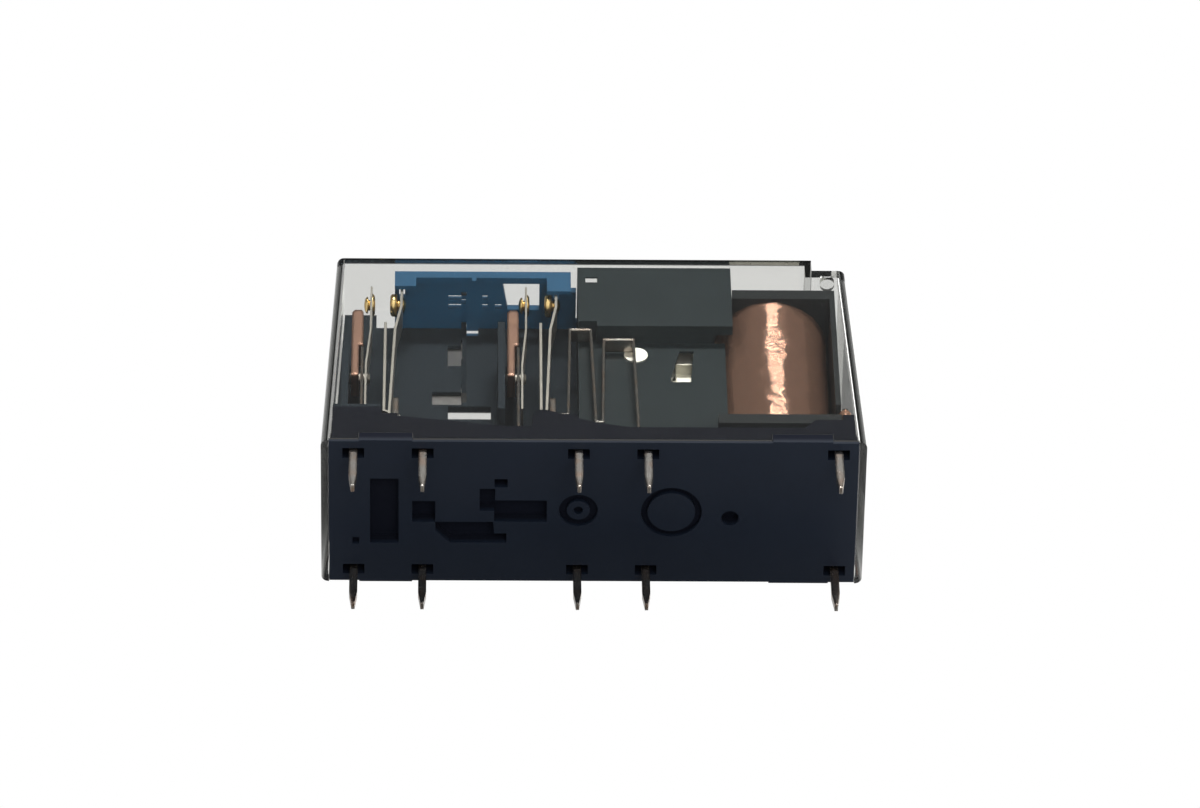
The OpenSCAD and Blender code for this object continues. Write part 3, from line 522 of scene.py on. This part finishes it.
class RELAY_OT_cover(bpy.types.Operator):
    """Gives the cover its clear plastic, which lets the light of lamps through"""

    bl_idname = "relay.cover"
    bl_label = "Finish Cover"

    # How softly the painted edge shade begins
    blend: share("Blend", "How softly the tint of the edges begins, as a share of the thickness", 0.1)

    def shade_edges(self, plastics, tree, shader):
        """Paints shade into the plastic where its side faces look into the thickness of the roof or an end
        wall, which passes little light.

        A place is in an end wall where |x| + z tan(draft) is within a wall's thickness of its value
        outside, and in the roof where z is within its thickness of the top. Both count by the part of
        the normal that lies along Y.
        """
        at = separated(tree, place_on_piece(tree))
        slope = math.tan(plastics.end_draft)
        low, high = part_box("cover")
        half = (high[0] - low[0]) / 2 + low[2] * slope
        lean = calculated(tree, "MULTIPLY_ADD", at["Z"], slope, calculated(tree, "ABSOLUTE", at["X"]))
        early, late = 1 + self.blend, 1 - self.blend
        end, top = (
            stepped(tree, value, From_Min=outside - early * thickness, From_Max=outside - late * thickness)
            for value, outside, thickness in ((lean, half, plastics.wall), (at["Z"], high[2], plastics.roof))
        )
        normal = separated(tree, add_node(tree, "ShaderNodeNewGeometry").outputs["Normal"])
        side = calculated(tree, "ABSOLUTE", normal["Y"])
        edge = calculated(tree, "MULTIPLY", calculated(tree, "MAXIMUM", end, top), side)
        # Painted shade on the edges of the cover, mixed into its tint
        tint = blended(tree, edge, rgba(plastics.cover), rgba(plastics.cover_edge_shade))
        tree.links.new(tint, shader.inputs["Base Color"])

    def execute(self, context):
        p = context.scene.relay_plastics
        material, tree, shader, output = new_material("Clear Cover")
        self.shade_edges(p, tree, shader)
        shader.inputs["Roughness"].default_value = p.cover_roughness
        shader.inputs["IOR"].default_value = p.cover_ior
        shader.inputs["Transmission Weight"].default_value = 1.0
        clear = add_node(tree, "ShaderNodeBsdfTransparent", Color=rgba(p.cover))
        path = add_node(tree, "ShaderNodeLightPath").outputs
        seen = calculated(tree, "MAXIMUM", path["Is Camera Ray"], path["Is Transmission Ray"])
        tree.links.new(mixed(tree, seen, clear, shader).outputs[0], output.inputs["Surface"])
        body = add_node(
            tree, "ShaderNodeVolumeAbsorption", Color=rgba(p.cover_body), Density=p.cover_density
        )
        tree.links.new(body.outputs[0], output.inputs["Volume"])
        paint(["cover"], material)
        return {"FINISHED"}


class RELAY_OT_mouldings(bpy.types.Operator):
    """Finishes the base, the armature housing, the bobbin, the drive arm and the card"""

    bl_idname = "relay.mouldings"
    bl_label = "Finish Mouldings"

    # Heights over which the painted shade of the recesses comes in
    lip: length("Lip", "Height in the recesses where they start to darken", 0.1 * MM)
    dark: length("Dark", "Height in the recesses from where they are dark", 0.5 * MM)
    change: length("Change", "Height over which the plinth turns into the barrier's grey", 0.3 * MM)

    def shade_base(self, plastics, material):
        """Paints shade into the recesses of the base, blackening and dulling them, and greys what stands up
        inside the cover.

        The colour and the roughness run straight from one value to the next by the height alone.
        """
        p = plastics
        tree = material.node_tree
        surface = next(node for node in tree.nodes if node.type == "GROUP")
        height = separated(tree, place_on_piece(tree))["Z"]
        top = p.seat + p.plinth
        recess_shade = {"From_Min": p.seat + self.lip, "From_Max": p.seat + self.dark}
        # Painted shade in the recesses, by height
        tint = blended(tree, ranged(tree, height, **recess_shade), rgba(p.base), rgba(p.recess_shade))
        inside = ranged(tree, height, From_Min=top, From_Max=top + self.change)
        tint = blended(tree, inside, tint, rgba(p.barrier))
        rough = ranged(tree, height, **recess_shade, To_Min=p.base_roughness, To_Max=p.recess_roughness)
        tree.links.new(tint, surface.inputs["Colour"])
        tree.links.new(rough, surface.inputs["Roughness"])

    def execute(self, context):
        p = context.scene.relay_plastics
        base = moulded_material("Base Moulding", p.base, p.base_roughness, p.grain, gloss=0.14)
        self.shade_base(p, base)
        housing = moulded_material("Housing Moulding", p.housing, p.housing_roughness, p.grain, gloss=0.13)
        bobbin = moulded_material("Bobbin Moulding", p.bobbin, p.housing_roughness, p.grain, gloss=0.13)
        arm = moulded_material("Arm Moulding", p.arm, p.housing_roughness, p.grain)
        card = moulded_material("Card Moulding", p.card, p.card_roughness, p.grain, cloud=0.08, gloss=0.25)
        paint(["base"], base)
        paint(["armature_housing"], housing)
        paint(["bobbin"], bobbin)
        paint(["drive_arm"], arm)
        paint(["card"], card)
        return {"FINISHED"}


class RELAY_OT_webs(bpy.types.Operator):
    """Closes two openings of the barrier with the thin webs that let a dim light through"""

    bl_idname = "relay.webs"
    bl_label = "Close Barrier Openings"

    thickness: length("Thickness", "Thickness of a web at its rim", 0.12 * MM)
    bulge: length("Bulge", "How much thicker a web is in its middle, on each face", 0.03 * MM)
    back: length("Back", "From the middle of the relay to the middle of the webs", 0.35 * MM)
    columns: count("Columns", "Points across a web", 12, 4, 48)
    rows: count("Rows", "Points up a web", 10, 4, 48)

    def web(self, low, high):
        """Surface of a web: a closed section across it, carried from its lower to its upper rim.

        With u and v from -1 to 1 across and up, the faces lie thickness / 2 + bulge (1 - u^2) (1 - v^2)
        in front of and behind its middle.
        """
        there = np.linspace(-1, 1, self.columns)
        u = np.concatenate([there, there[::-1]])[None, :]
        side = np.repeat([-1.0, 1.0], self.columns)[None, :]
        v = np.linspace(-1, 1, self.rows)[:, None]
        half = self.thickness / 2 + self.bulge * (1 - u**2) * (1 - v**2)
        x = (low[0] + high[0]) / 2 + (high[0] - low[0]) / 2 * u + 0 * v
        z = (low[1] + high[1]) / 2 + (high[1] - low[1]) / 2 * v + 0 * u
        return np.stack([x, -self.back + side * half, z], axis=-1)

    def execute(self, context):
        p = context.scene.relay_plastics
        material = moulded_material(
            "Thin Web", p.web, 0.4, p.grain, depth=0.1, cloud=0.25, gloss=0.5, clear=1.0
        )
        for name, corners in WEBS.items():
            points = self.web(*(np.array(corners) * MM))
            add_piece(name, points, capped(points), material, "root", smooth=False)
        return {"FINISHED"}


class RELAY_OT_terminals(bpy.types.Operator):
    """Finishes the tinned terminals and their pins"""

    bl_idname = "relay.terminals"
    bl_label = "Finish Terminals"

    def execute(self, context):
        m = context.scene.relay_metals
        tin = strip_material(
            "Tinned Terminal", m.tin, m.tin_worn, 0.24, m.brushing, wear=0.5, edge=m.stamped_edge
        )
        paint([f"coil_terminal_{side}" for side in SIDES], tin)
        paint([f"fixed_terminal_{s}" for s in SETS], tin)
        paint([f"moving_terminal_{s}" for s in SETS], tin)
        return {"FINISHED"}


class RELAY_OT_contact_strips(bpy.types.Operator):
    """Finishes the springs, leaves, blades and rivets of the contact sets"""

    bl_idname = "relay.contact_strips"
    bl_label = "Finish Contact Strips"

    def execute(self, context):
        m = context.scene.relay_metals
        spring = strip_material("Spring Strip", m.spring, m.tin_worn, 0.34, m.brushing, wear=0.06, depth=0.02)
        blade = strip_material(
            "Backing Blade", m.blade, m.tin_worn, 0.3, m.brushing, wear=0.3, depth=0.05, edge=m.blade_edge
        )
        for kind in ("contact_leaf", "moving_spring", "leaf_rivet"):
            paint([f"{kind}_{s}" for s in SETS], spring)
        paint([f"backing_blade_{s}" for s in SETS], blade)
        return {"FINISHED"}


class RELAY_OT_contacts(bpy.types.Operator):
    """Turns the plated contacts with crowned faces, on the leaves and the springs"""

    bl_idname = "relay.contacts"
    bl_label = "Turn Contacts"

    sides: count("Sides", "Points round a contact", 40, 16, 96)
    crown: length("Crown", "How far the middle of a contact face stands out", 0.05 * MM)
    rim: share("Rim", "Radius of the round rim, as a share of the head's", 0.2)
    shank: share("Shank", "Radius of the waist that the strip holds, as a share of the head's", 0.47)
    tail: share("Tail", "Radius of the riveted end, as a share of the head's", 0.75)

    def button(self, low, high, head):
        """Profile of a contact from one end to the other, along the distance from low to high.

        The face is a shallow dome, distance = low + crown (r / R)^2, then come a round rim, the head,
        a waist where the strip holds it, and a second dome on the riveted end.
        """
        way = math.copysign(1, high - low)
        rim, shank, tail, pole = self.rim * head, self.shank * head, self.tail * head, 0.02 * head
        head_end, waist_start, waist_end, tail_start, dome_start = (
            low + part * (high - low) for part in (0.42, 0.46, 0.62, 0.66, 0.7)
        )
        r = np.linspace(pole / head, 1 - self.rim, 7)
        face = np.stack([head * r, low + way * self.crown * r**2], axis=-1)
        a = np.linspace(0, math.pi / 2, 5)
        rise = self.crown + rim - rim * np.cos(a)
        edge = np.stack([head - rim + rim * np.sin(a), low + way * rise], axis=-1)
        waist = np.array([[head, head_end], [shank, waist_start], [shank, waist_end], [tail, tail_start]])
        b = np.linspace(0, math.pi / 2, 6)[:-1]
        dome = np.stack([tail * np.cos(b), dome_start + (high - dome_start) * np.sin(b)], axis=-1)
        return np.concatenate([face, edge, waist, dome, [[pole, high]]])

    def execute(self, context):
        m = context.scene.relay_metals
        gold = strip_material("Contact Plating", m.gold, m.blade, 0.22, m.brushing, wear=0.1, depth=0.02)
        for s in SETS:
            rear = s.startswith("rear")
            joint = JOINTS[f"swing_{s}"]
            hinge = joint["pos_m"]
            for kind in ("fixed", "moving"):
                node = f"{kind}_contact_{s}"
                leaning = rear and kind == "moving"
                angle = math.radians(joint["range_deg"][1]) if leaning else 0.0
                solid = np.array([v.co for v in frame["nodes"][node].data.vertices])
                upright = turned_about_y(solid, hinge, angle)
                low, high = upright.min(0), upright.max(0)
                faces_plus = (kind == "fixed") != rear
                ends = (high[0], low[0]) if faces_plus else (low[0], high[0])
                points = spun(self.button(*ends, (high[2] - low[2]) / 2), self.sides)
                points[..., 1:] += (low[1:] + high[1:]) / 2
                points = turned_about_y(points, hinge, -angle)
                faces = capped(points)
                if faces_plus:
                    faces = [f[::-1] for f in faces]
                body = f"spring_{s}" if kind == "moving" else "root"
                piece = add_piece(f"crowned_{kind}_contact_{s}", points, faces, gold, body)
                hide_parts(node)
        return {"FINISHED"}


class RELAY_OT_magnet(bpy.types.Operator):
    """Finishes the core, yoke, pole plate, armature and pivot pin"""

    bl_idname = "relay.magnet"
    bl_label = "Finish Magnet"

    def execute(self, context):
        m = context.scene.relay_metals
        iron = strip_material("Plated Iron", m.iron, m.steel, 0.5, m.brushing, wear=0.3)
        steel = strip_material("Turned Steel", m.steel, m.iron, 0.6, m.brushing, wear=0.2)
        paint(["core", "yoke", "pole_plate", "armature"], iron)
        paint(["pivot_pin"], steel)
        return {"FINISHED"}


class RELAY_OT_coil(bpy.types.Operator):
    """Winds the coil turn by turn, and leads its two ends to their posts"""

    bl_idname = "relay.coil"
    bl_label = "Wind Coil"

    def winding(self, coil, material):
        """The wound copper, a profile carried round a stadium.

        The profile goes up the tube of the bobbin, out along the upper flange, down over the round of
        each wire and back in along the lower flange. Each turn sways in and out by a sum of waves round
        the coil, whose phases wander from turn to turn.
        """
        low, high = (np.array(corner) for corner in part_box("coil_winding"))
        middle = (low + high) / 2
        reach = (high[0] - low[0]) / 2
        gap = (high[1] - low[1]) - 2 * reach
        turns = int(round((high[2] - low[2]) / coil.pitch))
        pitch = (high[2] - low[2]) / turns
        step = (np.arange(turns * coil.steps) + 0.5) / coil.steps
        round_off = pitch / 2 * (1 - np.sqrt(1 - (2 * (step % 1) - 1) ** 2 * coil.roundness))
        outline, normal, s = stadium(reach, gap, coil.sides)
        rng = np.random.default_rng(coil.seed)
        wander = np.cumsum(rng.normal(0, WAVE_WANDER, (turns, len(WAVES))), axis=0)
        total = 2 * math.pi * reach + 2 * gap
        phase = 2 * math.pi * WAVES[None, :, None] * s[None, None, :] / total + wander[:, :, None]
        sway = coil.sway * (WAVE_HEIGHTS[None, :, None] * (np.cos(phase) - 1)).sum(axis=1)
        depth = -round_off[:, None] + sway[step.astype(int)]
        outer = np.empty((len(step), coil.sides, 3))
        outer[..., :2] = outline + normal * depth[..., None]
        outer[..., 2] = (high[2] - step * pitch)[:, None]
        bore = np.empty((2, coil.sides, 3))
        bore[..., :2] = outline - normal * coil.layers
        bore[..., 2] = [[low[2]], [high[2]]]
        points = np.concatenate([bore, outer])
        points[..., :2] += middle[:2]
        faces = grid_faces(*points.shape[:2], close_rows=True)[:, ::-1]
        piece = add_piece("wound_wire", points, faces, material, "root")
        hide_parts("coil_winding")

    def lead(self, coil, side, material):
        """One end of the wire: a helix on the post, then a slack curve over to the winding.

        The helix is (r cos a, r sin a, rise a / 2 pi) round the post. The run to the winding is a
        straight line from its end, moved aside by slack times sin(pi t).
        """
        low, high = (np.array(corner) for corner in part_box(f"coil_lead_{side}"))
        sign = -1 if side == "front" else 1
        wire_r, outer_r = 0.06 * MM, 0.43 * MM
        turn_r, rise = outer_r - wire_r, 2.1 * wire_r
        slack = np.array([0.1, sign * 0.35, -0.12]) * MM
        post_y = high[1] - outer_r if sign > 0 else low[1] + outer_r
        centre = np.array([high[0] - outer_r, post_y, low[2] + wire_r])
        a = np.linspace(0, 2 * math.pi * coil.lead_turns, 24 * coil.lead_turns)
        circle = np.stack([turn_r * np.cos(a), sign * turn_r * np.sin(a), rise * a / (2 * math.pi)], axis=-1)
        helix = centre + circle
        start = helix[-1]
        end = np.array([low[0] + 0.1 * MM, low[1] if sign > 0 else high[1], centre[2] + 3 * wire_r])
        t = np.linspace(0, 1, 30)[1:, None]
        run = start + (end - start) * t + np.sin(math.pi * t) * slack
        points = tube(np.concatenate([helix, run]), wire_r)
        piece = add_piece(f"wire_end_{side}", points, capped(points), material, "root")
        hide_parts(f"coil_lead_{side}")

    def execute(self, context):
        m = context.scene.relay_metals
        coil = context.scene.relay_coil
        material = strip_material(
            "Enamelled Wire", m.wire, m.blade, m.wire_roughness, 0.4 * MM, wear=0.12, depth=0.0, metal=0.8
        )
        self.winding(coil, material)
        for side in SIDES:
            self.lead(coil, side, material)
        return {"FINISHED"}


class RELAY_OT_stage(bpy.types.Operator):
    """Sets up the camera, the lamps, the white surroundings and the floor"""

    bl_idname = "relay.stage"
    bl_label = "Set Stage"

    def camera(self, context):
        """The photograph's camera, which looks at its target from a bearing, a height and a distance."""
        s = context.scene.relay_stage
        data = bpy.data.cameras.new("Camera")
        data.sensor_width = s.sensor / MM
        data.lens = s.focal_px / s.photo_width * data.sensor_width
        data.clip_start = 0.01
        data.clip_end = 10
        camera = bpy.data.objects.new("Camera", data)
        context.scene.collection.objects.link(camera)
        level = math.cos(s.elevation)
        back = Vector((math.sin(s.azimuth) * level, -math.cos(s.azimuth) * level, math.sin(s.elevation)))
        right = Vector((math.cos(s.azimuth), math.sin(s.azimuth), 0))
        up = back.cross(right)
        across = math.cos(s.roll) * right + math.sin(s.roll) * up
        above = math.cos(s.roll) * up - math.sin(s.roll) * right
        place = Vector(s.target) + back * s.distance
        camera.matrix_world = Matrix(
            [[across[i], above[i], back[i], place[i]] for i in range(3)] + [[0, 0, 0, 1]]
        )
        context.scene.camera = camera

    def lamp(self, context, name, azimuth, elevation, distance, size, power):
        """An area lamp that faces the relay from a bearing and a height, in degrees."""
        data = bpy.data.lights.new(name, "AREA")
        data.shape = "RECTANGLE"
        data.size, data.size_y = size
        data.energy = power
        lamp = bpy.data.objects.new(name, data)
        lamp.visible_transmission = False
        context.scene.collection.objects.link(lamp)
        a, e = math.radians(azimuth), math.radians(elevation)
        way = Vector((math.sin(a) * math.cos(e), -math.cos(a) * math.cos(e), math.sin(e)))
        lamp.location = LAMPS_FACE + way * distance
        lamp.rotation_euler = way.to_track_quat("Z", "Y").to_euler()

    def surroundings(self, context):
        """White for the camera and the clear plastic, an even light, and a dark patch in front for gloss.

        The patch lies round a direction above the front. It is a smooth step of the cosine of the angle
        from that direction.
        """
        s = context.scene.relay_stage
        world = bpy.data.worlds.new("Studio")
        context.scene.world = world
        world.use_nodes = True
        tree = world.node_tree
        tree.nodes.clear()
        output = add_node(tree, "ShaderNodeOutputWorld")
        toward = add_node(tree, "ShaderNodeVectorMath", operation="DOT_PRODUCT")
        feed(tree, toward.inputs[0], add_node(tree, "ShaderNodeTexCoord").outputs["Generated"])
        feed(tree, toward.inputs[1], (0.0, -math.cos(s.dark_height), math.sin(s.dark_height)))
        strength = stepped(
            tree, toward.outputs["Value"], From_Min=math.cos(s.dark_reach), From_Max=math.cos(s.dark_core),
            To_Min=s.gloss_light, To_Max=s.gloss_dark,
        )
        light = add_node(tree, "ShaderNodeBackground", Color=WHITE, Strength=s.ambient)
        gloss = add_node(tree, "ShaderNodeBackground", Color=WHITE, Strength=strength)
        white = add_node(tree, "ShaderNodeBackground", Color=WHITE)
        path = add_node(tree, "ShaderNodeLightPath").outputs
        seen = calculated(tree, "MAXIMUM", path["Is Camera Ray"], path["Is Transmission Ray"])
        studio = mixed(tree, seen, mixed(tree, path["Is Glossy Ray"], light, gloss), white)
        tree.links.new(studio.outputs[0], output.inputs["Surface"])

    def floor(self, context):
        """A round pale floor under the pins, a fan of rings, that can be looked through from below.

        For the camera it turns white by a smooth step of the distance from its middle.
        """
        s = context.scene.relay_stage
        material, tree, shader, output = new_material("Pale Floor")
        shader.inputs["Base Color"].default_value = rgba(s.floor)
        shader.inputs["Roughness"].default_value = 0.6
        shader.inputs["Specular IOR Level"].default_value = 0.1
        white = add_node(tree, "ShaderNodeEmission", Color=WHITE)
        clear = add_node(tree, "ShaderNodeBsdfTransparent")
        path = add_node(tree, "ShaderNodeLightPath").outputs
        away = add_node(tree, "ShaderNodeVectorMath", operation="LENGTH", Vector=place_on_piece(tree))
        fade = stepped(tree, away.outputs["Value"], From_Min=s.fade_start, From_Max=s.fade_end)
        pale = mixed(tree, calculated(tree, "MULTIPLY", fade, path["Is Camera Ray"]), shader, white)
        below = add_node(tree, "ShaderNodeNewGeometry").outputs["Backfacing"]
        through = calculated(tree, "MAXIMUM", below, path["Is Shadow Ray"])
        tree.links.new(mixed(tree, through, pale, clear).outputs[0], output.inputs["Surface"])
        turn = np.linspace(0, 2 * math.pi, 96, endpoint=False)
        ring = np.array([0.001, 0.25, 1.0])[:, None] * s.floor_radius
        level = np.full((ring.size, turn.size), -s.floor_drop)
        points = np.stack([ring * np.cos(turn), ring * np.sin(turn), level], axis=-1)
        rings = grid_faces(ring.size, turn.size)[:, ::-1]
        floor = add_surface("floor", points, [*rings, range(turn.size)], material, smooth=False)

    def execute(self, context):
        self.camera(context)
        self.surroundings(context)
        self.floor(context)
        for name, values in LAMPS.items():
            self.lamp(context, name, *values)
        context.scene.view_settings.view_transform = "Standard"
        return {"FINISHED"}


class RELAY_PT_panel(bpy.types.Panel):
    """Lists the steps and the sizes and colours of the relay"""

    bl_idname = "RELAY_PT_panel"
    bl_label = "Relay"
    bl_space_type = "VIEW_3D"
    bl_region_type = "UI"
    bl_category = "Relay"

    def draw(self, context):
        for operator in OPERATORS:
            self.layout.operator(operator.bl_idname)
        for name, group in GROUPS.items():
            box = self.layout.box()
            for field in group.__annotations__:
                box.prop(getattr(context.scene, name), field)


OPERATORS = (
    RELAY_OT_cover,
    RELAY_OT_mouldings,
    RELAY_OT_webs,
    RELAY_OT_terminals,
    RELAY_OT_contact_strips,
    RELAY_OT_contacts,
    RELAY_OT_magnet,
    RELAY_OT_coil,
    RELAY_OT_stage,
)
CLASSES = (*GROUPS.values(), *OPERATORS, RELAY_PT_panel)


def register():
    for cls in CLASSES:
        bpy.utils.register_class(cls)
    for name, group in GROUPS.items():
        setattr(bpy.types.Scene, name, PointerProperty(type=group))


def unregister():
    for name in GROUPS:
        delattr(bpy.types.Scene, name)
    for cls in reversed(CLASSES):
        bpy.utils.unregister_class(cls)


def main():
    register()
    bpy.ops.relay.cover()
    bpy.ops.relay.mouldings()
    bpy.ops.relay.webs()
    bpy.ops.relay.terminals()
    bpy.ops.relay.contact_strips()
    bpy.ops.relay.contacts()
    bpy.ops.relay.magnet()
    bpy.ops.relay.coil()
    bpy.ops.relay.stage()


if __name__ == "__main__":
    main()
